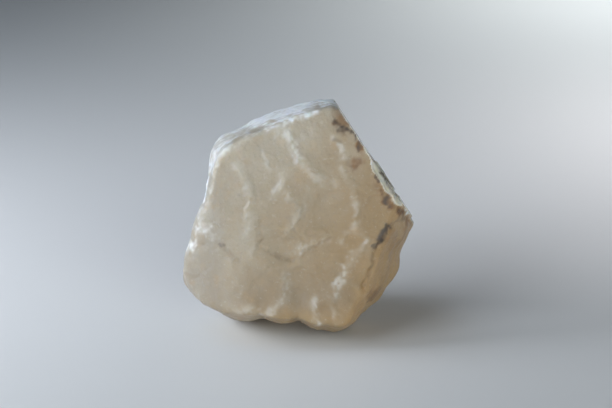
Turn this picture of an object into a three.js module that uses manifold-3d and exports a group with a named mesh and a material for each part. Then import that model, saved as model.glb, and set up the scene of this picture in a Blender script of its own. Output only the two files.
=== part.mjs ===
// A raw fluorite crystal: one milky, water-worn lump with a broad pitted front, worn bevels along
// its top and left, and fresh stepped cleavage faces that meet the worn skin in crisp edges. It
// stands on a small flat spot.
// Millimetres, +Z up, X across the front, -Y towards the front. The origin is on the ground, under
// the middle of the stone's box.
import * as THREE from 'three';
import { mergeVertices } from 'three/addons/utils/BufferGeometryUtils.js';
import Module from 'manifold-3d';

// Driving dimensions.
const HEART_HEIGHT = 20.5; // from the ground to the heart of the stone
const LEAN = 20; // degrees that the layout plane of the front leans back
const WEAR = 32; // sharpness of the worn edges: a larger value leaves less wear
const SCALLOP = 7.5; // usual distance between the scallops of the sides and back
const FACETS = 22; // a larger value cuts the skin into more, smaller facets
const SKIN = '#cbbfa6';

// The stone is laid out on a plane that leans back through its heart: across is X, up climbs the
// plane, and out comes forward from it. All three are measured from the heart.
const lean = THREE.MathUtils.degToRad(LEAN);
const layoutFrame = new THREE.Matrix4().makeBasis(
  new THREE.Vector3(1, 0, 0),
  new THREE.Vector3(0, Math.sin(lean), Math.cos(lean)),
  new THREE.Vector3(0, -Math.cos(lean), Math.sin(lean)),
);

// The frame of a flat face: clockwise round the stone, towards the back, and outwards. Bearing turns
// anticlockwise in the layout plane from straight across, and rise lifts the face towards the front.
function faceFrame(bearing, rise) {
  const turn = THREE.MathUtils.degToRad(bearing);
  const lift = THREE.MathUtils.degToRad(rise);
  const clockwise = new THREE.Vector3(Math.sin(turn), -Math.cos(turn), 0);
  const outwards = new THREE.Vector3(Math.cos(turn), Math.sin(turn), Math.tan(lift)).normalize();
  const backwards = new THREE.Vector3().crossVectors(outwards, clockwise);
  return new THREE.Matrix4().makeBasis(clockwise, backwards, outwards);
}

// Flat faces that wear has rounded into each other. Distance is from the heart.
const WORN_FACES = [
  { name: 'front', bearing: 270, rise: 84, distance: 12.9 },
  { name: 'front shoulder', bearing: 100, rise: 72, distance: 18.1 },
  { name: 'front left', bearing: 205, rise: 57, distance: 18.1 },
  { name: 'top bevel', bearing: 106, rise: 12, distance: 20.1 },
  { name: 'top left bevel', bearing: 117, rise: 12, distance: 20.0 },
  { name: 'left bevel', bearing: 165, rise: 6.5, distance: 18.75 },
  { name: 'left foot', bearing: 198, rise: 0, distance: 27.2 },
  { name: 'low left', bearing: 226, rise: 0, distance: 25.8 },
  { name: 'under left', bearing: 245, rise: 2, distance: 23.3 },
  { name: 'underside', bearing: 262, rise: 4, distance: 20 },
  { name: 'under right', bearing: 286, rise: 4, distance: 23.8 },
  { name: 'low right', bearing: 318, rise: 2, distance: 22.6 },
  { name: 'amber facet', bearing: 335, rise: 24, distance: 20 },
  { name: 'right corner', bearing: 356, rise: 4, distance: 22.6 },
  { name: 'top corner', bearing: 68, rise: 8, distance: 22.9 },
  { name: 'back', bearing: 90, rise: -76, distance: 12.2 },
  { name: 'back left', bearing: 186, rise: -40, distance: 17.4 },
  { name: 'back right', bearing: 336, rise: -38, distance: 17.5 },
  { name: 'back foot', bearing: 262, rise: -52, distance: 18.2 },
  { name: 'back top', bearing: 112, rise: -42, distance: 17.6 },
];
for (const face of WORN_FACES) {
  const column = new THREE.Vector3();
  face.normal = column.setFromMatrixColumn(faceFrame(face.bearing, face.rise), 2);
}

// Fresh faces where the crystal has parted along its cleavage, with the ledges that it left standing
// on them: each ledge has its height and its outline, clockwise and backwards from the face's foot.
const CLEAVED_FACES = [
  {
    name: 'right cleavage',
    bearing: 33,
    rise: 3.2,
    distance: 16.15,
    ledges: [
      { height: 1.5, outline: [[-30, -30], [30, -30], [30, 6], [14, 7], [6, 5], [1, 8], [-6, 6], [-30, 8]] },
      { height: 1.75, outline: [[-2.6, -9.6], [0, -11.6], [5.6, -11.4], [7, -8], [4, -4]] },
      { height: 2, outline: [[-0.6, -9], [1.2, -10.2], [5.4, -9.8], [5.8, -8], [2, -6.2]] },
      { height: 1.95, outline: [[6.6, -9.4], [7.6, -10.6], [10.4, -9.8], [12.2, -7], [12, -4], [8, -2.6]] },
    ],
  },
  {
    name: 'back cleavage',
    bearing: 60,
    rise: -62,
    distance: 13.4,
    ledges: [
      { height: 0.8, outline: [[-20, 2], [-5, 4], [-1, 1], [4, 3], [9, -1], [20, 0], [20, 20], [-20, 20]] },
      { height: 1.6, outline: [[-20, 9], [-4, 8], [2, 10.5], [8, 7], [20, 9], [20, 20], [-20, 20]] },
    ],
  },
];

// Swellings, and hollows where the height is negative: [across, up, out, spread, height].
const SWELLINGS = [
  [-14, -11, 8, 6.5, 0.7],
  [-21.5, -10, 1, 4, 0.5],
  [-21.4, -13.4, 5, 2.4, -1.2],
  [-10, -20, 4, 2.8, 0.5],
  [-3.2, -20.2, 5, 2.4, 0.6],
  [5.4, -21.4, 2.5, 4.2, 1.6],
  [-10, -20, -2, 4.2, 2.2],
  [-17.6, 6, 4, 3, -0.7],
  [-16.8, 12, 5, 2.6, 0.8],
  [-6.8, 18.8, -2, 4, 0.5],
  [-12, 16.2, -2, 1.8, -0.5],
  [19.4, -7.4, 5, 1.6, -0.4],
  [18.8, -10.4, 0, 1.8, 0.7],
  [15, -16.4, 0, 1.8, 0.6],
  [11.2, -20, 3, 2.4, -1.2],
];

// Flutes that run under the stone from front to back: [across, spread, depth].
const FLUTES = [
  [-6.6, 1.4, 0.7],
  [0.2, 1.4, 0.8],
];

// Shallow round pits in the front: [across, up, radius, depth].
const PITS = [
  [-13.4, 3, 6, 0.38],
  [-6.9, 5.9, 4.2, 0.38],
  [-4.6, 0, 4.2, 0.34],
  [4.6, 2, 6.2, 0.45],
  [-3.6, -5.6, 4.2, 0.49],
  [6.2, 10.6, 4.8, 0.38],
  [-5.4, 13.2, 4.4, 0.3],
  [5.2, -8.6, 4.8, 0.38],
  [1.2, -13.4, 4.4, 0.34],
  [9.8, -17, 3.8, 0.38],
  [5.2, -18.4, 2.6, 0.38],
  [-14, -13.6, 6.5, 0.22],
  [-6.9, -12.6, 4.4, 0.34],
  [12.2, 6.6, 3.8, 0.3],
  [14.8, 0, 4.2, 0.34],
];

// Raised seams between the pits, and cracks where the height is negative: height, width, and the
// points of the layout plane that each runs through.
const SEAMS = [
  { height: 0.29, width: 0.75, run: [[-1.5, 15.3], [-1.1, 13.6], [-0.4, 11.6], [0.1, 10.1]] },
  { height: 0.22, width: 0.75, run: [[0.1, 10.1], [1.3, 8.7], [2.8, 7.2], [4.4, 6.3], [6.4, 5.9]] },
  { height: 0.22, width: 0.75, run: [[8.3, 8.1], [10.1, 5.7], [10.7, 3], [10.5, 0], [10.2, -2.2]] },
  { height: 0.24, width: 0.75, run: [[6.4, 14.6], [7.2, 13.4], [7.9, 12], [8.6, 10.6]] },
  { height: 0.21, width: 0.75, run: [[-6.2, 11.4], [-5.7, 10], [-5.2, 8.7]] },
  { height: 0.3, width: 0.75, run: [[-11.2, 8.9], [-9.9, 6.6], [-8.6, 4.2], [-8.4, 1.8]] },
  { height: 0.26, width: 0.75, run: [[-8.4, 1.8], [-8.7, 0], [-9.4, -3.3]] },
  { height: 0.2, width: 0.75, run: [[-4.6, 3.3], [-3.3, 5], [-2.6, 6.4], [-2, 7.6]] },
  { height: 0.29, width: 0.75, run: [[-2.4, 5], [-1.1, 3.1], [0.3, 1.3], [-0.7, -0.6], [-1.6, -3]] },
  { height: 0.27, width: 0.75, run: [[-0.3, -7.5], [0.6, -5.7], [2.6, -5.2], [4.4, -4.2], [5.6, -4]] },
  { height: 0.2, width: 0.75, run: [[7.6, -5], [8.8, -3.2], [11.3, -3.3], [12.5, -4.8]] },
  { height: 0.24, width: 0.75, run: [[12.5, -4.8], [10.9, -6.8], [9.4, -8.7], [8.6, -10.1]] },
  { height: 0.27, width: 0.75, run: [[8.6, -10.1], [7.4, -12], [7, -13.8], [6.2, -15.6]] },
  { height: 0.22, width: 0.8, run: [[3.5, -15.4], [3.2, -17.9], [4, -20.8]] },
  { height: 0.27, width: 0.75, run: [[7, -16.2], [7.4, -19.4]] },
  { height: 0.22, width: 0.8, run: [[-3.1, -11], [-1.8, -12.9], [-2.2, -15.1], [-4.1, -16.6], [-5.7, -18]] },
  { height: 0.2, width: 0.75, run: [[-8, -5.9], [-8.2, -8]] },
  { height: 0.22, width: 0.75, run: [[-10.3, -13.4], [-10, -15.4]] },
  { height: 0.2, width: 0.75, run: [[-10.9, -17.8], [-9, -17.2], [-6.6, -18.3]] },
  { height: -0.35, width: 0.75, run: [[-6.6, -3.3], [-7.2, -5.5], [-5.9, -6.8], [-3.3, -7.9], [-1.1, -8.3]] },
  { height: -0.26, width: 0.75, run: [[-21, -4.3], [-17.8, -5.4], [-15.3, -4.8], [-13.8, -6.3], [-11, -9]] },
  { height: -0.6, width: 0.75, run: [[20.6, -0.4], [17.2, -2.5], [15.4, -5], [14.2, -8], [12, -13]] },
  { height: -0.3, width: 0.75, run: [[18.9, -2.9], [18.4, -6.4], [17.4, -9.4], [16, -12.2]] },
];

// A number from 0 to 1 that is fixed for each cell of a cubic lattice.
function latticeValue(x, y, z) {
  const wave = Math.sin(x * 127.1 + y * 311.7 + z * 74.7) * 43758.5453;
  return wave - Math.floor(wave);
}

const fade = (t) => t * t * (3 - 2 * t);

// Smooth noise from -1 to 1, one swell for each unit of distance.
function noise(x, y, z) {
  const [cellX, cellY, cellZ] = [Math.floor(x), Math.floor(y), Math.floor(z)];
  const [u, v, w] = [fade(x - cellX), fade(y - cellY), fade(z - cellZ)];
  let sum = 0;
  for (const i of [0, 1]) {
    for (const j of [0, 1]) {
      for (const k of [0, 1]) {
        const weight = (i ? u : 1 - u) * (j ? v : 1 - v) * (k ? w : 1 - w);
        sum += weight * latticeValue(cellX + i, cellY + j, cellZ + k);
      }
    }
  }
  return 2 * sum - 1;
}

// Depth of the round scallops that fill space, from 0 on the ridges between them to 1 in the middle
// of each, one scallop for each unit of distance.
function scallops(x, y, z) {
  const [cellX, cellY, cellZ] = [Math.floor(x), Math.floor(y), Math.floor(z)];
  let nearest = 1;
  for (const i of [-1, 0, 1]) {
    for (const j of [-1, 0, 1]) {
      for (const k of [-1, 0, 1]) {
        const [cx, cy, cz] = [cellX + i, cellY + j, cellZ + k];
        const dx = cx + latticeValue(cx, cy, cz) - x;
        const dy = cy + latticeValue(cy, cz, cx) - y;
        const dz = cz + latticeValue(cz, cx, cy) - z;
        nearest = Math.min(nearest, dx * dx + dy * dy + dz * dz);
      }
    }
  }
  return 1 - nearest;
}

// Distance from a point of the layout plane to a run of straight stretches, with the way there.
function wayToRun(across, up, run) {
  let way = { distance: Infinity };
  for (let i = 1; i < run.length; i++) {
    const [x0, y0] = run[i - 1];
    const [dx, dy] = [run[i][0] - x0, run[i][1] - y0];
    const share = ((across - x0) * dx + (up - y0) * dy) / (dx * dx + dy * dy);
    const t = THREE.MathUtils.clamp(share, 0, 1);
    const [x, y] = [x0 + t * dx - across, y0 + t * dy - up];
    const distance = Math.hypot(x, y);
    if (distance < way.distance) way = { distance, x, y };
  }
  return way;
}

const bell = (distance, spread) => Math.exp(-((distance / spread) ** 2));

// How far the pits and seams of the front wander from their places in the layout.
function wander({ x, y, z }) {
  const [a, b, c] = [x / 2.4, y / 2.4, z / 2.4];
  return [0.4 * noise(a, b, c), 0.4 * noise(b, c, a)];
}

// Pits and seams of the front at a point of the layout plane.
function frontRelief(across, up) {
  let pit = 0;
  for (const [x, y, radius, depth] of PITS) {
    const share = Math.hypot(across - x, up - y) / radius;
    if (share < 1) pit = Math.max(pit, depth * (1 - share * share));
  }
  let seam = 0;
  for (const { height, width, run } of SEAMS) {
    seam += height * bell(wayToRun(across, up, run).distance, width);
  }
  return seam - pit;
}

// How far the faces alone stand from the heart in a direction of the layout frame.
function facedReach(direction) {
  let sum = 0;
  for (const { normal, distance } of WORN_FACES) {
    sum += Math.max(0, normal.dot(direction) / distance) ** WEAR;
  }
  return sum ** (-1 / WEAR);
}

// A point of the worn skin in a direction of the layout frame.
function wornPoint(direction) {
  const reach = facedReach(direction);
  const point = direction.clone().multiplyScalar(reach);
  const { x, y, z } = point;
  let relief = 0.35 * noise(x / 6.5, y / 6.5, z / 6.5) + 0.15 * noise(y / 3.1, z / 3.1, x / 3.1);
  for (const [across, up, out, spread, height] of SWELLINGS) {
    relief += height * bell(Math.hypot(x - across, y - up, z - out), spread * 1.4);
  }
  const under = THREE.MathUtils.smoothstep(-y, 13, 18);
  for (const [across, spread, depth] of FLUTES) relief -= under * depth * bell(x - across, spread);
  const front = THREE.MathUtils.smoothstep(z, 1, 6);
  const [shiftAcross, shiftUp] = wander(point);
  relief += front * frontRelief(x + shiftAcross, y + shiftUp);
  relief -= (1 - front) * 0.9 * scallops(x / SCALLOP, y / SCALLOP, z / SCALLOP);
  return direction.clone().multiplyScalar(reach + relief);
}

// The same direction, moved a little towards the nearest seam, so that facets crowd along seams.
function towardsSeam(direction) {
  const point = direction.clone().multiplyScalar(facedReach(direction));
  if (point.z < 4) return direction;
  const [shiftAcross, shiftUp] = wander(point);
  const ways = SEAMS.map(({ run }) => wayToRun(point.x + shiftAcross, point.y + shiftUp, run));
  const way = ways.reduce((best, next) => (next.distance < best.distance ? next : best));
  const pull = 0.6 * bell(way.distance, 1.6);
  return point.add(new THREE.Vector3(way.x * pull, way.y * pull, 0)).normalize();
}

// The worn stone before any cleavage: a ball of facets, smaller at the front, moved to the skin.
function wornGeometry() {
  const ball = new THREE.IcosahedronGeometry(1, FACETS);
  ball.scale(22, 22, 13).translate(0, 0, 4);
  const position = ball.getAttribute('position');
  const direction = new THREE.Vector3();
  for (let i = 0; i < position.count; i++) {
    direction.fromBufferAttribute(position, i).normalize();
    position.setXYZ(i, ...wornPoint(towardsSeam(direction)));
  }
  return ball;
}

const { Manifold, Mesh } = await Module().then((wasm) => {
  wasm.setup();
  return wasm;
});

// A closed geometry as a solid for joining and cutting.
function solidOf(geometry) {
  const bare = new THREE.BufferGeometry();
  bare.setAttribute('position', geometry.getAttribute('position'));
  bare.setIndex(geometry.index);
  const merged = mergeVertices(bare, 1e-4);
  const vertProperties = new Float32Array(merged.getAttribute('position').array);
  const triVerts = new Uint32Array(merged.index.array);
  return new Manifold(new Mesh({ numProp: 3, vertProperties, triVerts }));
}

function geometryOf(solid) {
  const { vertProperties, triVerts } = solid.getMesh();
  const geometry = new THREE.BufferGeometry();
  geometry.setAttribute('position', new THREE.BufferAttribute(vertProperties, 3));
  geometry.setIndex(new THREE.BufferAttribute(triVerts, 1));
  return geometry;
}

const BLOCK = 80; // side of the blocks that cut whole faces away

// All that lies beyond a flat face, apart from the ledges that stand on it.
function beyondFace({ bearing, rise, distance, ledges }) {
  const frame = faceFrame(bearing, rise);
  const block = new THREE.BoxGeometry(BLOCK, BLOCK, BLOCK).translate(0, 0, BLOCK / 2 + distance);
  let beyond = solidOf(block.applyMatrix4(frame));
  for (const { height, outline } of ledges) {
    const shape = new THREE.Shape(outline.map(([x, y]) => new THREE.Vector2(x, y)));
    const ledge = new THREE.ExtrudeGeometry(shape, { depth: height + 1, bevelEnabled: false });
    ledge.translate(0, 0, distance - 1);
    beyond = beyond.subtract(solidOf(ledge.applyMatrix4(frame)));
  }
  return beyond;
}

let solid = solidOf(wornGeometry());
for (const face of CLEAVED_FACES) solid = solid.subtract(beyondFace(face));
solid = solid.subtract(beyondFace({ bearing: 270, rise: -LEAN, distance: HEART_HEIGHT, ledges: [] }));

const geometry = geometryOf(solid).applyMatrix4(layoutFrame);
geometry.computeVertexNormals();
geometry.computeBoundingBox();
const middle = geometry.boundingBox.getCenter(new THREE.Vector3());

const skin = new THREE.MeshStandardMaterial({ color: SKIN, roughness: 0.45, metalness: 0 });
const crystal = new THREE.Mesh(geometry, skin);
crystal.name = 'crystal';
crystal.position.set(-middle.x, -middle.y, HEART_HEIGHT);

const stone = new THREE.Group();
stone.add(crystal);

export default stone;
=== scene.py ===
import math

import bmesh
import bpy
import numpy as np
from mathutils import Matrix, Vector


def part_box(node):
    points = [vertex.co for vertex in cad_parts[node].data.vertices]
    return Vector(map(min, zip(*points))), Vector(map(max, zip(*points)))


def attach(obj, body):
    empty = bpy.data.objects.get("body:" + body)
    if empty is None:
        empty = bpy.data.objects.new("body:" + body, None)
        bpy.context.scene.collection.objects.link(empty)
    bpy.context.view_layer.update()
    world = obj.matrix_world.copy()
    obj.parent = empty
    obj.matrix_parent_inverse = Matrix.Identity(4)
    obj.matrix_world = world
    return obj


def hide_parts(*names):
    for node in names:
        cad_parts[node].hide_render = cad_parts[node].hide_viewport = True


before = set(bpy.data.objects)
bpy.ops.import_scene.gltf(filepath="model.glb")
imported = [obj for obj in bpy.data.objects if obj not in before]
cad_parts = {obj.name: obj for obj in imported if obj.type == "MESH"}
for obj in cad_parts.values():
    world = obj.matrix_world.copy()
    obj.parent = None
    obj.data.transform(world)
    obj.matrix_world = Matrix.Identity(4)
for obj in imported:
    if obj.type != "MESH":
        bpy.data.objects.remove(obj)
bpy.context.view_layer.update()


# ---------------------------------------------------------------------------------------------------
# The crystal is one lump of raw fluorite, milky and cream to amber, with nothing fixed to it. Most of
# its skin was worn round by water and frost, and its flat faces are where it split along its cleavage.
# It is laid out in millimetres on a plane that leans back through its heart: across, up and out.
# ---------------------------------------------------------------------------------------------------

# The large shape: flat faces that wear has rounded into each other.
LEAN = math.radians(20)
HEART_HEIGHT = 20.5
WEAR = 32


def face_frame(bearing, rise):
    """Clockwise round the stone, towards the back, and outwards, for a face that looks that way."""
    turn, lift = math.radians(bearing), math.radians(rise)
    clockwise = np.array([math.sin(turn), -math.cos(turn), 0.0])
    outwards = np.array([math.cos(turn), math.sin(turn), math.tan(lift)]) * math.cos(lift)
    return clockwise, np.cross(outwards, clockwise), outwards


# Bearing, rise and distance from the heart.
WORN_FACES = {
    "front": (270, 84, 12.9),
    "front shoulder": (100, 72, 18.1),
    "front left": (205, 57, 18.1),
    "top bevel": (106, 12, 20.1),
    "top left bevel": (117, 12, 20.0),
    "left bevel": (165, 6.5, 18.75),
    "left foot": (198, 0, 27.2),
    "low left": (226, 0, 25.8),
    "under left": (245, 2, 23.3),
    "underside": (262, 4, 20),
    "under right": (286, 4, 23.8),
    "low right": (318, 2, 22.6),
    "amber facet": (335, 24, 20),
    "right corner": (356, 4, 22.6),
    "top corner": (68, 8, 22.9),
    "back": (90, -76, 12.2),
    "back left": (186, -40, 17.4),
    "back right": (336, -38, 17.5),
    "back foot": (262, -52, 18.2),
    "back top": (112, -42, 17.6),
}


def face_shares(directions):
    """How much each worn face counts in each direction, and the reach of all of them together."""
    normals = [face_frame(bearing, rise)[2] / away for bearing, rise, away in WORN_FACES.values()]
    shares = np.maximum(directions @ np.array(normals).T, 0.0) ** WEAR
    total = shares.sum(axis=1)
    return shares / total[:, None], total ** (-1.0 / WEAR)


# Even noise and scallops that fill space. Each cell of a cubic lattice has its own number from 0 to 1,
# and the numbers repeat every LATTICE_SIZE cells.
LATTICE_SIZE = 64
STRIDES = (127.1, 311.7, 74.7)
SCRAMBLE = 43758.5453
steps = np.arange(LATTICE_SIZE)
steps = np.where(steps < LATTICE_SIZE // 2, steps, steps - LATTICE_SIZE)
waves = sum(axis * stride for axis, stride in zip(np.ix_(steps, steps, steps), STRIDES))
waves = np.sin(waves).ravel() * SCRAMBLE
LATTICE = waves - np.floor(waves)


def lattice_value(i, j, k):
    last = LATTICE_SIZE - 1
    return np.take(LATTICE, ((i & last) * LATTICE_SIZE + (j & last)) * LATTICE_SIZE + (k & last))


def noise(x, y, z, size=1.0):
    """Soft swells between -1 and 1, one to each size of distance."""
    x, y, z = x / size, y / size, z / size
    cell = [np.floor(c).astype(int) for c in (x, y, z)]
    u, v, w = [t * t * (3 - 2 * t) for t in (x - cell[0], y - cell[1], z - cell[2])]
    total = 0.0
    for i in (0, 1):
        for j in (0, 1):
            for k in (0, 1):
                weight = (u if i else 1 - u) * (v if j else 1 - v) * (w if k else 1 - w)
                total = total + weight * lattice_value(cell[0] + i, cell[1] + j, cell[2] + k)
    return 2 * total - 1


def flat_noise(along, over, size, layer):
    """The same over a plane, where each layer has a pattern of its own."""
    return noise(along / size, over / size, layer)


def nearest_two(x, y, z, size):
    """Squared distances to the nearest and the second nearest of points scattered one to a cell."""
    x, y, z = x / size, y / size, z / size
    cell = [np.floor(c).astype(int) for c in (x, y, z)]
    first = np.full(x.shape, 9.0)
    second = np.full(x.shape, 9.0)
    for i in (-1, 0, 1):
        for j in (-1, 0, 1):
            for k in (-1, 0, 1):
                cx, cy, cz = cell[0] + i, cell[1] + j, cell[2] + k
                square = (cx + lattice_value(cx, cy, cz) - x) ** 2
                square += (cy + lattice_value(cy, cz, cx) - y) ** 2
                square += (cz + lattice_value(cz, cx, cy) - z) ** 2
                second = np.minimum(second, np.maximum(first, square))
                first = np.minimum(first, square)
    return first, second


def smoothstep(value, low, high):
    t = np.clip((value - low) / (high - low), 0.0, 1.0)
    return t * t * (3 - 2 * t)


def bell(distance, spread):
    return np.exp(-((distance / spread) ** 2))


# Swellings, and hollows where the height is negative: across, up, out, spread, height. Each fades away
# over SOFTER times its spread.
SOFTER = 1.4
SWELLINGS = [
    (-14, -11, 8, 6.5, 0.7),
    (-21.5, -10, 1, 4, 0.5),
    (-21.4, -13.4, 5, 2.4, -1.2),
    (-10, -20, 4, 2.8, 0.5),
    (-3.2, -20.2, 5, 2.4, 0.6),
    (5.4, -21.4, 2.5, 4.2, 1.6),
    (-10, -20, -2, 4.2, 2.2),
    (-17.6, 6, 4, 3, -0.7),
    (-16.8, 12, 5, 2.6, 0.8),
    (-6.8, 18.8, -2, 4, 0.5),
    (-12, 16.2, -2, 1.8, -0.5),
    (19.4, -7.4, 5, 1.6, -0.4),
    (18.8, -10.4, 0, 1.8, 0.7),
    (15, -16.4, 0, 1.8, 0.6),
    (11.2, -20, 3, 2.4, -1.2),
]

# Flutes that run under the stone from front to back: across, spread, depth.
FLUTES = [
    (-6.6, 1.4, 0.7),
    (0.2, 1.4, 0.8),
]

# Shallow round pits in the front: across, up, radius, depth.
PITS = [
    (-13.4, 3, 6, 0.38),
    (-6.9, 5.9, 4.2, 0.38),
    (-4.6, 0, 4.2, 0.34),
    (4.6, 2, 6.2, 0.45),
    (-3.6, -5.6, 4.2, 0.49),
    (6.2, 10.6, 4.8, 0.38),
    (-5.4, 13.2, 4.4, 0.3),
    (5.2, -8.6, 4.8, 0.38),
    (1.2, -13.4, 4.4, 0.34),
    (9.8, -17, 3.8, 0.38),
    (5.2, -18.4, 2.6, 0.38),
    (-14, -13.6, 6.5, 0.22),
    (-6.9, -12.6, 4.4, 0.34),
    (12.2, 6.6, 3.8, 0.3),
    (14.8, 0, 4.2, 0.34),
]

# Raised seams between the pits, and cracks where the height is negative: height, width, how chalky
# the crest is, run.
SEAMS = [
    (0.19, 0.6, 0.95, [(-1.5, 15.3), (-1.1, 13.6), (-0.4, 11.6), (0.1, 10.1)]),
    (0.15, 0.6, 0.6, [(0.1, 10.1), (1.3, 8.7), (2.8, 7.2), (4.4, 6.3), (6.4, 5.9)]),
    (0.15, 0.6, 0.5, [(8.3, 8.1), (10.1, 5.7), (10.7, 3), (10.5, 0), (10.2, -2.2)]),
    (0.16, 0.55, 0.7, [(6.4, 14.6), (7.2, 13.4), (7.9, 12), (8.6, 10.6)]),
    (0.14, 0.55, 0.6, [(-6.2, 11.4), (-5.7, 10), (-5.2, 8.7)]),
    (0.2, 0.65, 0.5, [(-11.2, 8.9), (-9.9, 6.6), (-8.6, 4.2), (-8.4, 1.8)]),
    (0.17, 0.6, 0.55, [(-8.4, 1.8), (-8.7, 0), (-9.4, -3.3)]),
    (0.13, 0.6, 0.5, [(-4.6, 3.3), (-3.3, 5), (-2.6, 6.4), (-2, 7.6)]),
    (0.19, 0.6, 0.35, [(-2.4, 5), (-1.1, 3.1), (0.3, 1.3), (-0.7, -0.6), (-1.6, -3)]),
    (0.18, 0.65, 0.6, [(-0.3, -7.5), (0.6, -5.7), (2.6, -5.2), (4.4, -4.2), (5.6, -4)]),
    (0.13, 0.55, 0.4, [(7.6, -5), (8.8, -3.2), (11.3, -3.3), (12.5, -4.8)]),
    (0.16, 0.7, 0.5, [(12.5, -4.8), (10.9, -6.8), (9.4, -8.7), (8.6, -10.1)]),
    (0.18, 0.7, 0.95, [(8.6, -10.1), (7.4, -12), (7, -13.8), (6.2, -15.6)]),
    (0.12, 0.5, 0.8, [(3.1, -15.8), (3.4, -18.2), (3.6, -20.8)]),
    (0.16, 0.55, 0.5, [(6.6, -16), (6.7, -17.6), (7.3, -19.4)]),
    (0.15, 0.6, 0.5, [(-3.1, -11), (-1.8, -12.9), (-2.2, -15.1), (-4.1, -16.6), (-5.7, -18)]),
    (0.13, 0.6, 0.3, [(-8, -5.9), (-8.2, -8)]),
    (0.1, 0.6, 0.25, [(-10.3, -13.4), (-10, -15.4)]),
    (0.13, 0.7, 0.4, [(-10.9, -17.8), (-9, -17.2), (-6.6, -18.3)]),
    (-0.23, 0.6, 0, [(-6.6, -3.3), (-7.2, -5.5), (-5.9, -6.8), (-3.3, -7.9), (-1.1, -8.3)]),
    (-0.17, 0.7, 0, [(-21, -4.3), (-17.8, -5.4), (-15.3, -4.8), (-13.8, -6.3), (-11.1, -8.7)]),
    (-0.4, 0.6, 0, [(20.6, -0.4), (17.2, -2.5), (15.4, -5), (14.2, -8), (13.2, -11), (12, -13)]),
    (-0.2, 0.6, 0, [(18.9, -2.9), (18.4, -6.4), (17.4, -9.4), (16, -12.2)]),
]

# What covers the skin everywhere: how far apart, and how high or deep.
SCALLOP_SIZE, SCALLOP_DEPTH = 7.5, 0.9
FINE_SEAM_SIZE, FINE_SEAM_HEIGHT = 4.3, 0.05
PINHOLE_SIZE, PINHOLE_DEPTH = 1.7, 0.09
LUMP_SIZE, LUMP_HEIGHT = 1.5, 0.12
GRAIN_SIZE, GRAIN_HEIGHT = 0.7, 0.04


def distance_to_run(across, up, run):
    nearest = np.full(across.shape, np.inf)
    for (x0, y0), (x1, y1) in zip(run, run[1:]):
        dx, dy = x1 - x0, y1 - y0
        t = np.clip(((across - x0) * dx + (up - y0) * dy) / (dx * dx + dy * dy), 0.0, 1.0)
        nearest = np.minimum(nearest, np.hypot(across - x0 - t * dx, up - y0 - t * dy))
    return nearest


def front_share(out):
    return smoothstep(out, 1.0, 6.0)


def wandered(x, y, z):
    """Where the seams and pits of the front lie once they have strayed from their straight runs."""
    across = x + 0.4 * noise(x, y, z, 2.4) + 0.25 * noise(x, y, z, 0.9)
    up = y + 0.4 * noise(y, z, x, 2.4) + 0.25 * noise(y, z, x, 0.9)
    return across, up


def seam_height(across, up):
    """The seams and grooves, each uneven along its run and worn away here and there."""
    kept = 1.0 + 0.7 * flat_noise(across, up, 1.9, 0.5) + 0.5 * flat_noise(across, up, 0.7, 2.5)
    breadth = 1.0 + 0.5 * flat_noise(across, up, 1.1, 4.5)
    total = np.zeros(across.shape)
    for height, width, _, run in SEAMS:
        total += height * np.exp(-((distance_to_run(across, up, run) / (width * breadth)) ** 1.6))
    return total * np.clip(kept, 0.15, 1.7)


def fine_seams(x, y, z):
    """The thin network of low seams between the larger ones, broken up so that only some show."""
    bend = 0.5 * noise(x, y, z, 2.1)
    first, second = nearest_two(x + bend, y + bend, z - bend, FINE_SEAM_SIZE)
    gap = np.sqrt(second) - np.sqrt(first)
    shown = smoothstep(noise(x / 5 + 7, y / 5, z / 5), -0.25, 0.5)
    return np.exp(-((gap / 0.1) ** 1.4)) * shown


def worn_reach(directions):
    """How far out each direction meets the worn skin."""
    _, reach = face_shares(directions)
    x, y, z = (directions * reach[:, None]).T
    relief = 0.35 * noise(x, y, z, 6.5) + 0.15 * noise(y, z, x, 3.1)
    for across, up, out, spread, height in SWELLINGS:
        distance = np.sqrt((x - across) ** 2 + (y - up) ** 2 + (z - out) ** 2)
        relief += height * bell(distance, spread * SOFTER)
    under = smoothstep(-y, 13, 18)
    for middle, spread, depth in FLUTES:
        relief -= under * depth * bell(x - middle, spread)
    front = front_share(z)
    across, up = wandered(x, y, z)
    pit = np.zeros(x.shape)
    for px, py, radius, depth in PITS:
        share = np.hypot(across - px, up - py) / radius
        pit = np.maximum(pit, depth * np.maximum(0.0, 1 - share * share))
    relief += front * (seam_height(across, up) - pit)
    # The front has no scallops, and the pinholes lie in clusters.
    first, _ = nearest_two(x, y, z, SCALLOP_SIZE)
    relief -= (1 - front) * SCALLOP_DEPTH * np.maximum(0.0, 1 - first)
    relief += FINE_SEAM_HEIGHT * fine_seams(x, y, z)
    first, _ = nearest_two(x, y, z, PINHOLE_SIZE)
    clustered = smoothstep(noise(x, y, z, 4), -0.3, 0.6)
    relief -= PINHOLE_DEPTH * np.maximum(0.0, 1 - first / 0.2) * clustered
    relief += GRAIN_HEIGHT * noise(x, y, z, GRAIN_SIZE)
    relief += LUMP_HEIGHT * noise(x, y, z, LUMP_SIZE)
    return reach + relief


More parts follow.
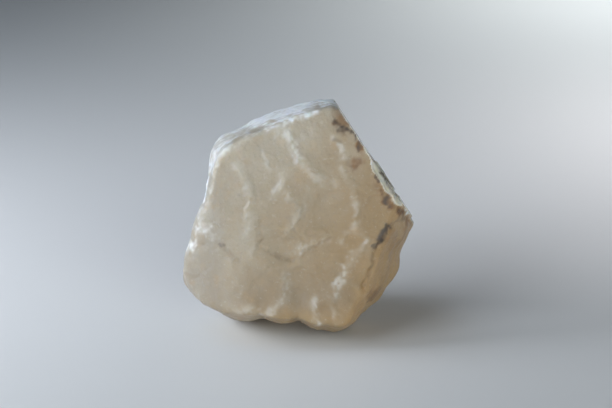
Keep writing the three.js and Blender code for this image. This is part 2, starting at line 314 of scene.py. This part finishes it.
# The fresh faces, and the ledges left standing on them where the crystal parted at another level.
# Each ledge has its height and its outline, clockwise and backwards from the face's foot. A face
# that a direction misses is FAR away.
FAR = 1e3
RIGHT_CLEAVAGE = (33, 3.2, 16.15)
RIGHT_LEDGES = [
    (1.5, [(-30, -30), (30, -30), (30, 6), (14, 7), (6, 5), (1, 8), (-6, 6), (-30, 8)]),
    (1.75, [(-2.6, -9.6), (0, -11.6), (5.6, -11.4), (7, -8), (4, -4)]),
    (2, [(-0.6, -9), (1.2, -10.2), (5.4, -9.8), (5.8, -8), (2, -6.2)]),
    (1.95, [(6.6, -9.4), (7.6, -10.6), (10.4, -9.8), (12.2, -7), (12, -4), (8, -2.6)]),
]
BACK_CLEAVAGE = (60, -62, 13.4)
BACK_LEDGES = [
    (0.8, [(-20, 2), (-5, 4), (-1, 1), (4, 3), (9, -1), (20, 0), (20, 20), (-20, 20)]),
    (1.6, [(-20, 9), (-4, 8), (2, 10.5), (8, 7), (20, 9), (20, 20), (-20, 20)]),
]
CLEAVAGES = [(RIGHT_CLEAVAGE, RIGHT_LEDGES), (BACK_CLEAVAGE, BACK_LEDGES)]
LONG_STEP = 0.13
SHORT_STEP = 0.06


def inside_by(along, over, outline):
    """How far a point is inside an outline; negative outside it."""
    inside = np.zeros(along.shape, bool)
    closed = outline + outline[:1]
    for (x0, y0), (x1, y1) in zip(closed, closed[1:]):
        spans = (y0 > over) != (y1 > over)
        if y0 != y1:
            inside ^= spans & (along < x0 + (over - y0) * (x1 - x0) / (y1 - y0))
    distance = distance_to_run(along, over, closed)
    return np.where(inside, distance, -distance)


def on_face(directions, face, level=0.0):
    """Where each direction meets a level of the face, clockwise and backwards from its foot."""
    bearing, rise, distance = face
    clockwise, backwards, outwards = face_frame(bearing, rise)
    run = (distance + level) / np.maximum(directions @ outwards, 1e-6)
    return directions @ clockwise * run, directions @ backwards * run, run


def inside_ledge(directions, face, level, outline):
    """How far inside the ragged outline of a ledge each direction lands."""
    along, over, _ = on_face(directions, face, level)
    return inside_by(along, over, outline) + 0.25 * flat_noise(along, over, 1.3, level)


def stairs(climb):
    """A slow rise to each whole number, with a sharp step back down to nought there."""
    tread = climb - np.floor(climb)
    return smoothstep(tread, 0.0, 0.9) * smoothstep(1 - tread, 0.0, 0.08)


def cleaved_reach(directions, face, ledges):
    """How far out each direction meets a fresh face, with its ledges and steps."""
    height = np.zeros(len(directions))
    for level, outline in ledges:
        inside = inside_ledge(directions, face, level, outline) > -0.02
        height = np.where(inside, np.maximum(height, level), height)
    # Hair-thin steps run across the face in two families of nearly straight lines.
    along, over, run = on_face(directions, face)
    bend = 0.35 * flat_noise(along, over, 6, 0.5) + 0.08 * flat_noise(along, over, 1.2, 3.5)
    kept = smoothstep(flat_noise(along, over, 4, 6.5), -0.4, 0.4)
    height += LONG_STEP * stairs(0.3 * over + 0.1 * along + bend)
    height += SHORT_STEP * stairs(0.2 * along - 0.11 * over + 1.4 * bend) * kept
    height += 0.015 * flat_noise(along, over, 0.5, 9.5)
    distance = face[2]
    return np.where(run < 20 * distance, run * (distance + height) / distance, FAR)


def both_cleavages(directions):
    return np.minimum(*[cleaved_reach(directions, face, ledges) for face, ledges in CLEAVAGES])


# Small hollows knocked out of the fresh edge, each a part of a ball: across, up, out, radius.
CHIPS = [
    (23.7, 11.1, 20.2, 12),
    (23.8, 4.4, 16.2, 7),
]


def chipped_reach(directions):
    """How far out each direction meets the near side of a chip's ball."""
    reach = np.full(len(directions), FAR)
    for across, up, out, radius in CHIPS:
        middle = np.array([across, up, out])
        nearest = directions @ middle
        inside = radius**2 - (middle @ middle - nearest**2)
        hit = nearest - np.sqrt(np.maximum(inside, 0.0))
        x, y, z = (directions * hit[:, None]).T
        ripple = 0.2 * noise(x, y, z, 1.7) + 0.08 * noise(x, y, z, 0.6)
        reach = np.where((inside > 0) & (nearest > 0), np.minimum(reach, hit + ripple), reach)
    return reach


def ground_reach(directions):
    """How far out each direction meets the flat spot that the stone stands on."""
    down = directions @ np.array([0.0, math.cos(LEAN), math.sin(LEAN)])
    return np.where(down < -0.05, HEART_HEIGHT / np.maximum(-down, 1e-6), FAR)


# The skin is a fine net of small squares, pushed out to the stone. The sides are shallower than the
# front and the back, so they have fewer squares from front to back. The net starts as a box, is rounded
# and is drawn out to about the stone's proportions, so that its squares come out alike.
CUTS_ACROSS = 158
CUTS_UP = 158
CUTS_OUT = 76
HALF_SIZES = np.array([22, 22, 13])
NET_FORWARD = np.array([0, 0, 3.2])
net = bmesh.new()
bmesh.ops.create_cube(net, size=2)
for axis, cuts in enumerate((CUTS_ACROSS, CUTS_UP, CUTS_OUT)):
    crossing = [edge for edge in net.edges if edge.verts[0].co[axis] != edge.verts[1].co[axis]]
    bmesh.ops.subdivide_edges(net, edges=crossing, cuts=cuts)
stone_mesh = bpy.data.meshes.new("crystal_stone")
net.to_mesh(stone_mesh)
net.free()
count = len(stone_mesh.vertices)
directions = np.empty(count * 3)
stone_mesh.vertices.foreach_get("co", directions)
directions = np.tan(directions.reshape(-1, 3) * math.pi / 4)
directions /= np.linalg.norm(directions, axis=1)[:, None]
directions = directions * HALF_SIZES + NET_FORWARD
directions /= np.linalg.norm(directions, axis=1)[:, None]
net_edges = np.empty(len(stone_mesh.edges) * 2, int)
stone_mesh.edges.foreach_get("vertices", net_edges)
net_edges = net_edges.reshape(-1, 2)


def slid_onto_line(directions, gap, among=True):
    """The net with its nearest knots slid onto the line where the gap is nought, so it stays crisp."""
    a, b = net_edges.T
    among = np.broadcast_to(among, gap.shape)
    crosses = (gap[a] * gap[b] < 0) & among[a] & among[b]
    a, b = a[crosses], b[crosses]
    share = gap[a] / (gap[a] - gap[b])
    landing = directions[a] + share[:, None] * (directions[b] - directions[a])
    moved = directions.copy()
    moved[np.where(share < 0.5, a, b)] = landing
    return moved / np.linalg.norm(moved, axis=1)[:, None]


# The lines that stay crisp are, in turn, the rims of the fresh faces, the ledges on them, the rims of
# the chips and the rim of the flat spot.
directions = slid_onto_line(directions, worn_reach(directions) - both_cleavages(directions))
worn = worn_reach(directions)
for face, ledges in CLEAVAGES:
    cleft = cleaved_reach(directions, face, ledges) < worn
    for level, outline in ledges:
        directions = slid_onto_line(directions, inside_ledge(directions, face, level, outline), cleft)
worn = worn_reach(directions)
cleaved = both_cleavages(directions)
directions = slid_onto_line(directions, np.minimum(worn, cleaved) - chipped_reach(directions))
worn = worn_reach(directions)
cleaved = np.minimum(both_cleavages(directions), chipped_reach(directions))
directions = slid_onto_line(directions, np.minimum(worn, cleaved) - ground_reach(directions))
worn = worn_reach(directions)
chipped = chipped_reach(directions)
cleaved = np.minimum(both_cleavages(directions), chipped)
reach = np.minimum(np.minimum(worn, cleaved), ground_reach(directions))
points = directions * reach[:, None]

# Marks on the skin, by place. Chalky frosting lies on the seams, in whole patches and in small spots. On
# the bevels, the left sliver and the top corner the patches and one spot are painted highlights as well as
# frosting.
across, up, out = points.T
front = front_share(out)
strayed_across, strayed_up = wandered(across, up, out)
coarse = noise(across, up, out, 1.6)
fine = noise(across, up, out, 0.5)
frayed_across = strayed_across + 0.4 * noise(across / 0.8, up / 0.8, out / 0.8 + 5)
frayed_up = strayed_up + 0.4 * noise(across / 0.8 + 5, up / 0.8, out / 0.8)
skin = smoothstep(cleaved - worn, 0.0, 0.1)
# Patches: strength, and outline across and up.
FROST_AND_HIGHLIGHT_PATCHES = {
    # Frosting and a painted highlight.
    "left bevel": (0.8, [
        (-30, 7), (-15.4, 7), (-14.9, 8.6), (-13.7, 10.2), (-12.3, 12), (-11.5, 13.9), (-10.4, 14.6),
        (-7, 16.2), (-7, 30), (-30, 30),
    ]),
    # Frosting and a painted highlight.
    "top bevel": (1.15, [
        (-12, 30), (-10.4, 14.6), (-9.4, 15.1), (-7, 16.2), (-4.7, 16.9), (-3.3, 16.8), (-2.3, 16.7),
        (-1.5, 17.3), (-0.1, 18.1), (2.9, 18.4), (3.9, 18.9), (4.4, 20.8), (6, 30),
    ]),
    # A painted highlight on the top corner, with light frosting.
    "top corner": (2.4, [(3.4, 19.8), (5, 20.3), (6.4, 20.3), (7.4, 19.8), (9.4, 18.4), (14, 30), (5, 30)]),
    # A painted glint on the left sliver.
    "left sliver": (1.3, [(-30, 7.6), (-16.6, 7.6), (-16.2, 6.4), (-16.6, 4.2), (-17.3, 2.4), (-30, 2.4)]),
    "left ledge": (0.75, [
        (-19.8, -2.4), (-18.4, -0.4), (-17, -1), (-15.7, -2.2), (-15.2, -3.6), (-14.4, -4.2),
        (-14.8, -4.7), (-16.6, -4.3), (-18, -3.7),
    ]),
    "left rim": (0.7, [(-20, -3), (-19, -2), (-17.4, 0.4), (-17.2, 1.6), (-18.4, 1.6)]),
    "low rim": (0.8, [(-20.6, -4.6), (-19.3, -4.8), (-19.6, -5.8), (-21, -7.6), (-22.4, -8.6)]),
}
# Spots: across, up, half length, half width, turn in degrees, strength.
FROST_AND_HIGHLIGHT_SPOTS = [
    # A painted highlight along the rim of the top corner.
    (7.2, 20.3, 1.6, 0.4, -50, 2.2),
    (12.4, 12.6, 2, 0.3, -57, 0.5),
    (-0.8, 12.9, 1.9, 0.5, -75, 0.9),
    (-0.1, 10.4, 1.1, 0.7, -40, 0.5),
    (-10.9, 8.3, 0.8, 0.7, -50, 0.4),
    (-9.7, 4.9, 0.9, 0.6, 0, 0.45),
    (-5.7, 10, 1.2, 0.4, -65, 0.5),
    (-19.5, -5.6, 0.4, 0.4, 0, 0.8),
    (-2.7, 6.2, 0.4, 0.7, -20, 0.5),
    (-4.1, 4.4, 0.8, 0.5, 60, 0.4),
    (7.9, -11.6, 1.7, 0.7, 62, 0.75),
    (7, -13.6, 0.5, 1.1, 0, 0.5),
    (3.4, -17.2, 0.3, 1.5, 0, 0.7),
    (3.6, -20.1, 0.5, 0.6, 0, 1.0),
    (6.7, -17.8, 0.4, 1.6, 0, 0.3),
    (-5.4, -18.3, 0.8, 0.4, 20, 0.5),
    (-8.6, -17.4, 1.4, 0.4, 10, 0.4),
    (-1.9, -13.8, 0.8, 1.8, 0, 0.35),
    (10.2, -7.8, 1.3, 1.1, 40, 0.4),
    (12.3, -5, 0.5, 0.4, 40, 0.6),
    (4.6, -4.4, 1.3, 0.6, 15, 0.4),
    (0.4, -6.2, 0.5, 1.1, -20, 0.55),
    (8, 12, 0.4, 1.1, 25, 0.7),
    (10.6, 0.8, 0.4, 1.7, 0, 0.35),
    (-9.3, -1.8, 0.35, 1.4, 0, 0.4),
    (-7.9, -7, 0.4, 0.9, 0, 0.3),
    (20.6, 0.5, 1.4, 0.25, -57, 1.7),
]


def oval(x, y, length, width, turn):
    """A soft spot with a frayed edge, full in its middle."""
    turn = math.radians(turn)
    along = (frayed_across - x) * math.cos(turn) + (frayed_up - y) * math.sin(turn)
    over = (frayed_up - y) * math.cos(turn) - (frayed_across - x) * math.sin(turn)
    return bell(np.hypot(along / length, over / width), 1.0)


frost_and_highlight = np.zeros(count)
FROST_AND_HIGHLIGHT_SPREAD = 1.25
ragged = 1 + 0.3 * noise(across, up, out, 1.1) + 0.15 * fine
kept = 0.45 * np.clip(0.5 + 0.8 * noise(across, up, out, 1.9) + 0.4 * coarse + 0.3 * fine, 0, 1)
for _, width, chalk, run in SEAMS:
    near = bell(distance_to_run(strayed_across, strayed_up, run), FROST_AND_HIGHLIGHT_SPREAD * width * ragged)
    frost_and_highlight = np.maximum(frost_and_highlight, chalk * near * kept * front)
broken_up = np.clip(0.75 + 0.5 * coarse + 0.5 * fine, 0.1, 1.0)
for x, y, length, width, turn, strength in FROST_AND_HIGHLIGHT_SPOTS:
    near = oval(x, y, FROST_AND_HIGHLIGHT_SPREAD * length, FROST_AND_HIGHLIGHT_SPREAD * width, turn) * (1 + 0.5 * coarse + 0.5 * fine)
    frost_and_highlight = np.maximum(frost_and_highlight, smoothstep(near, 0.0, 1.0) * 0.5 * strength * front * broken_up)
# The patches are streaked along the top bevel, which falls away to the left.
BEVEL_RUN, BEVEL_RISE = 0.93, 0.37
along = BEVEL_RUN * across + BEVEL_RISE * up
over = BEVEL_RUN * up - BEVEL_RISE * across
streak = noise(along / 3.4, over / 0.6, out / 0.6) + 0.5 * noise(along / 1.5, over / 0.35, out / 0.35)
streak += 0.7 * coarse + 0.3 * fine + 0.9 * noise(across / 2.8 + 3, up / 2.8, out / 2.8)
for strength, outline in FROST_AND_HIGHLIGHT_PATCHES.values():
    depth = inside_by(strayed_across, strayed_up, outline) + 0.8 * coarse + 0.5 * fine
    spread = smoothstep(depth, -0.5, 1.5) * smoothstep(out, -9, -3)
    frost_and_highlight = np.maximum(frost_and_highlight, strength * spread * (0.45 + 0.65 * smoothstep(streak, -0.9, 1.1)))
# Fainter clouds of it cover the back, and the chips and the top of the fresh face are crushed white, partly
# a painted glow.
away = 1 - smoothstep(out, -4, 2)
cloud = noise(across, up, out, 5) + 0.3 * coarse + 0.2 * fine + 0.3 * streak
frost_and_highlight = np.maximum(frost_and_highlight, away * 0.45 * smoothstep(cloud, -0.4, 1.1))
frost_and_highlight = np.clip(frost_and_highlight * (1 + 0.12 * coarse + 0.12 * fine), 0.0, 1.0) * skin
crushed_and_glowing = np.maximum(chipped <= cleaved, smoothstep(up, 15, 17.5)) * (1 - skin)
frost_and_highlight = np.maximum(frost_and_highlight, np.clip(crushed_and_glowing * (0.3 + 0.5 * coarse + 0.5 * fine), 0.0, 0.9))

# Iron stains, mostly along the fresh edge: across, up, half length, half width, turn, strength.
IRON_STAINS = [
    (8.8, 16.8, 3.3, 1.2, -52, 0.75),
    (7, 17.4, 0.8, 0.7, -40, 0.85),
    (9.3, 15.3, 1.6, 0.6, -38, 0.85),
    (11.2, 12.5, 0.8, 1.2, 10, 1.3),
    (11.5, 11.1, 0.6, 1.5, 10, 0.65),
    (10.6, 9.4, 0.9, 1.8, -10, 0.9),
    (14.4, 6.9, 0.6, 0.9, 0, 1.3),
    (16.4, 2.9, 1.2, 1.7, 15, 1.7),
    (19.1, 0.9, 0.8, 1.4, 20, 1.2),
    (20.6, -1.1, 0.9, 1.0, 0, 0.75),
    (14.3, -14.9, 2.0, 0.9, 50, 0.55),
    (14.8, 5.2, 1.8, 0.7, -55, 0.35),
    (20.4, -4.4, 1.0, 3.2, 10, 0.4),
    (18.2, -10, 0.9, 3, -28, 0.4),
    (17.4, -4.6, 1.6, 3.6, 12, 0.3),
]
# Dark inclusions, darker lines along the cracks and painted shade beside some seams: strength, width, run.
DARK_INCLUSIONS_AND_SHADE = [
    (1.1, 0.5, [(15.9, -1.6), (15.5, -3), (14.9, -4.4)]),
    (0.9, 0.5, [(15, -4.6), (14, -5.9)]),
    (0.9, 0.5, [(16, -2), (17, -2.3)]),
    (0.22, 0.35, [(14, -6), (13.7, -8), (13.3, -10), (12, -13)]),
    (0.2, 0.35, [(16.6, -2), (18, -1.3), (19.7, -0.4)]),
    (0.12, 0.35, [(18.9, -2.9), (18.4, -6.4), (17.4, -9.4), (16, -12.2)]),
    (0.3, 0.32, [(7.1, 14.5), (8, 13.3)]),
    (0.9, 0.55, [(6.6, 17.9), (7.1, 17.1)]),
    (1.0, 0.55, [(7.7, 16.5), (8.6, 15.8), (9.5, 15.5), (10.5, 14.2)]),
    (0.9, 0.5, [(11.5, 13.2), (11, 12)]),
    (0.2, 0.4, [(9.7, 10.4), (9.4, 9.2), (10.1, 8.2), (11, 8.6), (11, 9.9)]),
    (1.0, 0.5, [(14.1, 7.3), (14.6, 6.6)]),
    (0.8, 0.6, [(15.9, 3.6), (16.4, 2.2)]),
    (0.4, 0.45, [(18.9, 1.3), (19.4, 0.5), (19.7, 0.1)]),
    (0.45, 0.45, [(13.4, -16), (14.7, -14.6)]),
    (0.45, 0.55, [(-14.2, -5.2), (-13.8, -5.6)]),
    (0.14, 0.6, [(-13.6, -5.9), (-12.3, -7.4), (-11.1, -8.5)]),
    (0.12, 0.4, [(-6.6, -3.3), (-7.1, -4.8)]),
    (0.12, 0.45, [(-5.9, -6.8), (-3.3, -7.9), (-1.1, -8.3)]),
    # Painted shade on the lower right side of seams.
    (0.12, 0.4, [(-9, 8), (-8, 5), (-7.3, 3)]),
    (0.12, 0.45, [(-0.9, 2.9), (0.2, 0.8)]),
    (0.12, 0.4, [(-1.6, -0.4), (-1, -3)]),
    (2.2, 0.3, [(15.2, 8.2), (18.4, 3.8)]),
]
iron = np.zeros(count)
for x, y, length, width, turn, strength in IRON_STAINS:
    near = oval(x, y, length, width, turn) * (1 + 0.7 * coarse + 0.35 * fine)
    iron = np.maximum(iron, strength * smoothstep(near, 0.1, 0.9))
iron = np.clip(iron, 0.0, 1.0) * smoothstep(out, 2.0, 5.0) * (0.3 + 0.7 * skin)
dark_and_shade = np.zeros(count)
for strength, width, run in DARK_INCLUSIONS_AND_SHADE:
    near = bell(distance_to_run(frayed_across, frayed_up, run), width * (1 + 0.2 * fine + 0.4 * coarse))
    dark_and_shade = np.maximum(dark_and_shade, strength * smoothstep(near, 0.1, 1.0) * (1 + 0.35 * fine))
dark_and_shade *= smoothstep(out, 4.0, 8.0) * (0.3 + 0.7 * skin)
# The edges of the ledges on the fresh faces are darker.
LEDGE_DARK_SPREAD = 0.16
for face, ledges in CLEAVAGES:
    cleft = (1 - skin) * (cleaved_reach(directions, face, ledges) < worn)
    for level, outline in ledges:
        edge = bell(inside_ledge(directions, face, level, outline), LEDGE_DARK_SPREAD)
        edge *= np.clip(0.4 + 0.5 * coarse + 0.3 * fine, 0, 1) * (0.3 + 0.7 * smoothstep(out, 7, 11))
        dark_and_shade = np.maximum(dark_and_shade, edge * cleft)

# The stone grows darker and warmer towards the lower right, partly its own amber and partly painted shade
# and a painted glow of light through it. Near its foot and round its left flank it is darker still: painted
# shade.
near_foot = smoothstep(-up, 6, 15) * (1 - smoothstep(-up, 15.5, 19)) * (1 - smoothstep(across, 6, 14))
left_flank = smoothstep(-across, 11, 16)
painted_shade = np.maximum(0.3 * near_foot, 0.45 * left_flank) * smoothstep(out, -6, 2)
# The faces at the lower right get an ochre tint: partly their own colour, partly a painted glow of light
# through the stone.
shares, _ = face_shares(directions)
columns = [list(WORN_FACES).index(name) for name in ("amber facet", "right corner", "low right")]
lower_right_glow = shares[:, columns].sum(axis=1)
# Darker and warmer towards the lower right: partly the stone's own amber, partly painted shade and a
# painted glow.
amber = smoothstep(0.75 * across - 0.55 * up + 2.5 * noise(across, up, out, 7), -16, 14)

marks = stone_mesh.color_attributes.new("marks", "FLOAT_COLOR", "POINT")
marks.data.foreach_set("color", np.stack([frost_and_highlight, iron, dark_and_shade, amber], axis=1).astype(np.float32).ravel())
for name, share in (("fresh", 1 - skin), ("painted_shade", painted_shade), ("lower_right_glow", lower_right_glow)):
    attribute = stone_mesh.attributes.new(name, "FLOAT", "POINT")
    attribute.data.foreach_set("value", share.astype(np.float32))


def upright(across, up, out):
    """The same place or way with the stone stood up: right, back and up."""
    return across, up * math.sin(LEAN) - out * math.cos(LEAN), up * math.cos(LEAN) + out * math.sin(LEAN)


# The stone goes into the row's frame in metres, with its middle at the CAD solid's. Edges sharper than
# CRISP_ANGLE stay crisp.
CRISP_ANGLE = math.radians(38)
low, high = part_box("crystal")
placed = np.stack(upright(across, up, out), axis=1)
placed[:, 2] += HEART_HEIGHT
placed /= 1000
placed[:, 0] += (low.x + high.x) / 2 - (placed[:, 0].min() + placed[:, 0].max()) / 2
placed[:, 1] += (low.y + high.y) / 2 - (placed[:, 1].min() + placed[:, 1].max()) / 2
stone_mesh.vertices.foreach_set("co", placed.ravel())
stone_mesh.polygons.foreach_set("use_smooth", np.ones(len(stone_mesh.polygons), bool))
stone_mesh.set_sharp_from_angle(angle=CRISP_ANGLE)
stone_mesh.update()
stone = bpy.data.objects.new("crystal_stone", stone_mesh)
bpy.context.scene.collection.objects.link(stone)

# Milky fluorite lets light in a few millimetres before it scatters back out, so it glows softly.
fluorite = bpy.data.materials.new("milky_fluorite")
fluorite.use_nodes = True
tree = fluorite.node_tree
surface = tree.nodes["Principled BSDF"]
surface.inputs["IOR"].default_value = 1.434
surface.inputs["Subsurface Weight"].default_value = 0.5
surface.inputs["Subsurface Radius"].default_value = (1.0, 0.75, 0.45)
surface.inputs["Subsurface Scale"].default_value = 0.009


def link(source, target):
    tree.links.new(source, target)


def tinted(base, colour, amount):
    """The base colour with some of another mixed in."""
    mix = tree.nodes.new("ShaderNodeMix")
    mix.data_type = "RGBA"
    if isinstance(base, tuple):
        mix.inputs["A"].default_value = base
    else:
        link(base, mix.inputs["A"])
    mix.inputs["B"].default_value = colour
    link(amount, mix.inputs["Factor"])
    return mix.outputs["Result"]


def ramped(source, low, high, bottom=0.0, top=1.0):
    ramp = tree.nodes.new("ShaderNodeMapRange")
    ramp.inputs["From Min"].default_value = low
    ramp.inputs["From Max"].default_value = high
    ramp.inputs["To Min"].default_value = bottom
    ramp.inputs["To Max"].default_value = top
    link(source, ramp.inputs["Value"])
    return ramp.outputs["Result"]


def times(first, second):
    product = tree.nodes.new("ShaderNodeMath")
    product.operation = "MULTIPLY"
    link(first, product.inputs[0])
    link(second, product.inputs[1])
    return product.outputs["Value"]


object_place = tree.nodes.new("ShaderNodeTexCoord").outputs["Object"]


def clouds(scale, detail, stretch=(1, 1, 1), turn=None):
    """Noise through the stone. A turn gives it axes of its own, and the stretch then lengthens it."""
    mapping = tree.nodes.new("ShaderNodeMapping")
    mapping.inputs["Scale"].default_value = stretch
    if turn is not None:
        mapping.vector_type = "TEXTURE"
        mapping.inputs["Rotation"].default_value = turn
    link(object_place, mapping.inputs["Vector"])
    cloud = tree.nodes.new("ShaderNodeTexNoise")
    cloud.inputs["Scale"].default_value = scale
    cloud.inputs["Detail"].default_value = detail
    link(mapping.outputs["Vector"], cloud.inputs["Vector"])
    return cloud.outputs["Fac"]


def read_mark(name):
    reader = tree.nodes.new("ShaderNodeAttribute")
    reader.attribute_name = name
    return reader


marked = read_mark("marks")
split = tree.nodes.new("ShaderNodeSeparateColor")
link(marked.outputs["Color"], split.inputs["Color"])
frosted_and_highlit, stained, darkened_and_shaded = split.outputs["Red"], split.outputs["Green"], split.outputs["Blue"]
warm_tone_shade_and_glow = marked.outputs["Alpha"]
fresh_share = read_mark("fresh").outputs["Fac"]
painted_shade_share = read_mark("painted_shade").outputs["Fac"]
lower_right_glow_share = read_mark("lower_right_glow").outputs["Fac"]
# The thin layers inside the crystal lie along the right fresh face, as its cleavage does.
layer_axes = [Vector(upright(*axis)) for axis in face_frame(*RIGHT_CLEAVAGE[:2])]
layers = clouds(1400, 2, (12, 7, 1), Matrix(layer_axes).transposed().to_euler())

# The stone's colours and those of its marks, among them painted glow, painted shade and painted highlights.
CREAM = (0.47, 0.426, 0.352, 1)
AMBER_SHADE_AND_GLOW = (0.345, 0.247, 0.137, 1)
OCHRE_TONE_AND_GLOW = (0.49, 0.338, 0.185, 1)
# A deep tone, also used as the painted shade near the foot and round the left flank.
DEEP_TONE_AND_SHADE = (0.245, 0.223, 0.19, 1)
VEIL = (0.495, 0.495, 0.455, 1)
CHALK_AND_HIGHLIGHT = (0.83, 0.86, 0.87, 1)
PALE_AND_GLOW = (0.90, 0.86, 0.76, 1)
RUST = (0.25, 0.14, 0.07, 1)
SMOKE_AND_SHADE = (0.10, 0.078, 0.064, 1)
# Warmer and darker towards the lower right and ochre on the lower right faces: partly own colour, partly
# painted shade and glow.
colour = tinted(CREAM, AMBER_SHADE_AND_GLOW, warm_tone_shade_and_glow)
colour = tinted(colour, OCHRE_TONE_AND_GLOW, lower_right_glow_share)
# Painted shade: darker near the foot and round the left flank.
colour = tinted(colour, DEEP_TONE_AND_SHADE, painted_shade_share)
milkier = ramped(warm_tone_shade_and_glow, 0.0, 1.0, 1.0, 0.3)
colour = tinted(colour, VEIL, times(milkier, ramped(clouds(170, 4), 0.5, 0.8, 0.0, 0.45)))
colour = tinted(colour, VEIL, times(milkier, ramped(clouds(330, 3, (1, 1, 0.2)), 0.5, 0.8, 0.0, 0.3)))
colour = tinted(colour, OCHRE_TONE_AND_GLOW, ramped(clouds(420, 3), 0.55, 0.85, 0.0, 0.35))
colour = tinted(colour, DEEP_TONE_AND_SHADE, ramped(clouds(2400, 2), 0.55, 0.75, 0.0, 0.2))
colour = tinted(colour, CHALK_AND_HIGHLIGHT, ramped(clouds(1500, 3), 0.6, 0.8, 0.0, 0.15))
# The fresh faces are pale: partly their own colour, partly a painted glow.
colour = tinted(colour, PALE_AND_GLOW, fresh_share)
colour = tinted(colour, DEEP_TONE_AND_SHADE, times(fresh_share, ramped(layers, 0.48, 0.7, 0.0, 0.5)))
# Frosting and painted highlights.
colour = tinted(colour, CHALK_AND_HIGHLIGHT, frosted_and_highlit)
colour = tinted(colour, RUST, stained)
# Dark inclusions, darker cracks and ledge edges, and painted shade beside seams.
colour = tinted(colour, SMOKE_AND_SHADE, darkened_and_shaded)
link(colour, surface.inputs["Base Color"])
# Frosting is matt, the worn skin is waxy and the fresh faces shine like glass.
dulled = tree.nodes.new("ShaderNodeMath")
dulled.operation = "ADD"
link(ramped(frosted_and_highlit, 0.0, 1.0, 0.0, 0.24), dulled.inputs[0])
link(ramped(fresh_share, 0.0, 1.0, 0.38, 0.1), dulled.inputs[1])
link(dulled.outputs["Value"], surface.inputs["Roughness"])
# The finest pits and grains are bumps, and they are fainter on the fresh faces.
grain = tree.nodes.new("ShaderNodeBump")
link(ramped(fresh_share, 0.0, 1.0, 0.7, 0.1), grain.inputs["Strength"])
grain.inputs["Distance"].default_value = 0.0002
link(clouds(1300, 6), grain.inputs["Height"])
link(grain.outputs["Normal"], surface.inputs["Normal"])

stone.data.materials.append(fluorite)
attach(stone, "root")
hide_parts("crystal")


# ---------------------------------------------------------------------------------------------------
# The table is a plain, pale board with a faint satin finish, far wider than the stone that stands
# on it. It is only the stage.
# ---------------------------------------------------------------------------------------------------
BOARD_HALF = 3
board = bpy.data.meshes.new("table_board")
corners = [(x * BOARD_HALF, y * BOARD_HALF, 0) for x, y in ((-1, -1), (1, -1), (1, 1), (-1, 1))]
board.from_pydata(corners, [], [(0, 1, 2, 3)])
table = bpy.data.objects.new("table_board", board)
bpy.context.scene.collection.objects.link(table)
pale = bpy.data.materials.new("pale_board")
pale.use_nodes = True
pale_surface = pale.node_tree.nodes["Principled BSDF"]
pale_surface.inputs["Base Color"].default_value = (0.72, 0.73, 0.74, 1)
pale_surface.inputs["Roughness"].default_value = 0.6
board.materials.append(pale)


# ---------------------------------------------------------------------------------------------------
# The light is a wide soft window on the left, a small skylight over the stone and a pale room in front.
# Three small lamps near the table, two on the right and one on the left, make the board brighter there,
# and a low warm one in front fills the foot of the stone.
# ---------------------------------------------------------------------------------------------------
def soft_light(name, place, aim, size, watts, colour, spread=180):
    lamp = bpy.data.lights.new(name, "AREA")
    lamp.shape = "RECTANGLE"
    lamp.size = lamp.size_y = size
    lamp.energy = watts
    lamp.color = colour
    lamp.spread = math.radians(spread)
    holder = bpy.data.objects.new(name, lamp)
    holder.location = place
    way = Vector(aim) - Vector(place)
    holder.rotation_euler = way.to_track_quat("-Z", "Y").to_euler()
    bpy.context.scene.collection.objects.link(holder)


soft_light("window", (-0.40, -0.30, 0.30), (0, 0, 0.02), 0.3, 1.491, (0.86, 0.93, 1.0))
soft_light("skylight", (-0.16, 0.05, 0.32), (0, 0, 0.02), 0.2, 0.212, (0.67, 0.81, 1.0))
soft_light("pale_room", (0.25, -0.45, 0.15), (0, 0, 0.02), 0.4, 1.07, (0.93, 1.0, 0.95))
soft_light("far_lamp", (0.16, 0.30, 0.20), (0.13, 0.27, 0), 0.12, 0.164, (0.96, 1.0, 0.99), 90)
soft_light("right_lamp", (0.18, 0.12, 0.12), (0.13, 0.10, 0), 0.12, 0.055, (1.0, 0.95, 0.95), 80)
soft_light("left_lamp", (-0.25, 0, 0.12), (-0.12, 0.02, 0), 0.12, 0.153, (0.91, 0.94, 1.0), 90)
soft_light("low_fill", (-0.02, -0.36, 0.035), (0, 0, 0.012), 0.1, 0.24, (1.0, 0.86, 0.72))
room = bpy.data.worlds.new("room")
room.use_nodes = True
room.node_tree.nodes["Background"].inputs["Color"].default_value = (0.80, 0.87, 0.95, 1)
room.node_tree.nodes["Background"].inputs["Strength"].default_value = 0.004
bpy.context.scene.world = room
bpy.context.scene.view_settings.view_transform = "Standard"


# ---------------------------------------------------------------------------------------------------
# The camera looks square at the leaning front from a third of a metre away, twenty degrees above the
# table. The heart lies a little behind the middle of the stone's box.
# ---------------------------------------------------------------------------------------------------
CAMERA_DISTANCE = 0.3252
CAMERA_RIGHT = 0.00138
CAMERA_UP = 0.0021
HEART_BACK = 0.00211
heart = Vector(((low.x + high.x) / 2, (low.y + high.y) / 2 + HEART_BACK, HEART_HEIGHT / 1000))
right_way, up_way, out_way = (Vector(upright(*way)) for way in ((1, 0, 0), (0, 1, 0), (0, 0, 1)))
lens = bpy.data.cameras.new("camera")
lens.lens = 100
lens.sensor_width = 36
lens.clip_start = 0.01
camera = bpy.data.objects.new("camera", lens)
camera.location = heart + out_way * CAMERA_DISTANCE + up_way * CAMERA_UP + right_way * CAMERA_RIGHT
camera.rotation_euler = (-out_way).to_track_quat("-Z", "Y").to_euler()
bpy.context.scene.collection.objects.link(camera)
bpy.context.scene.camera = camera
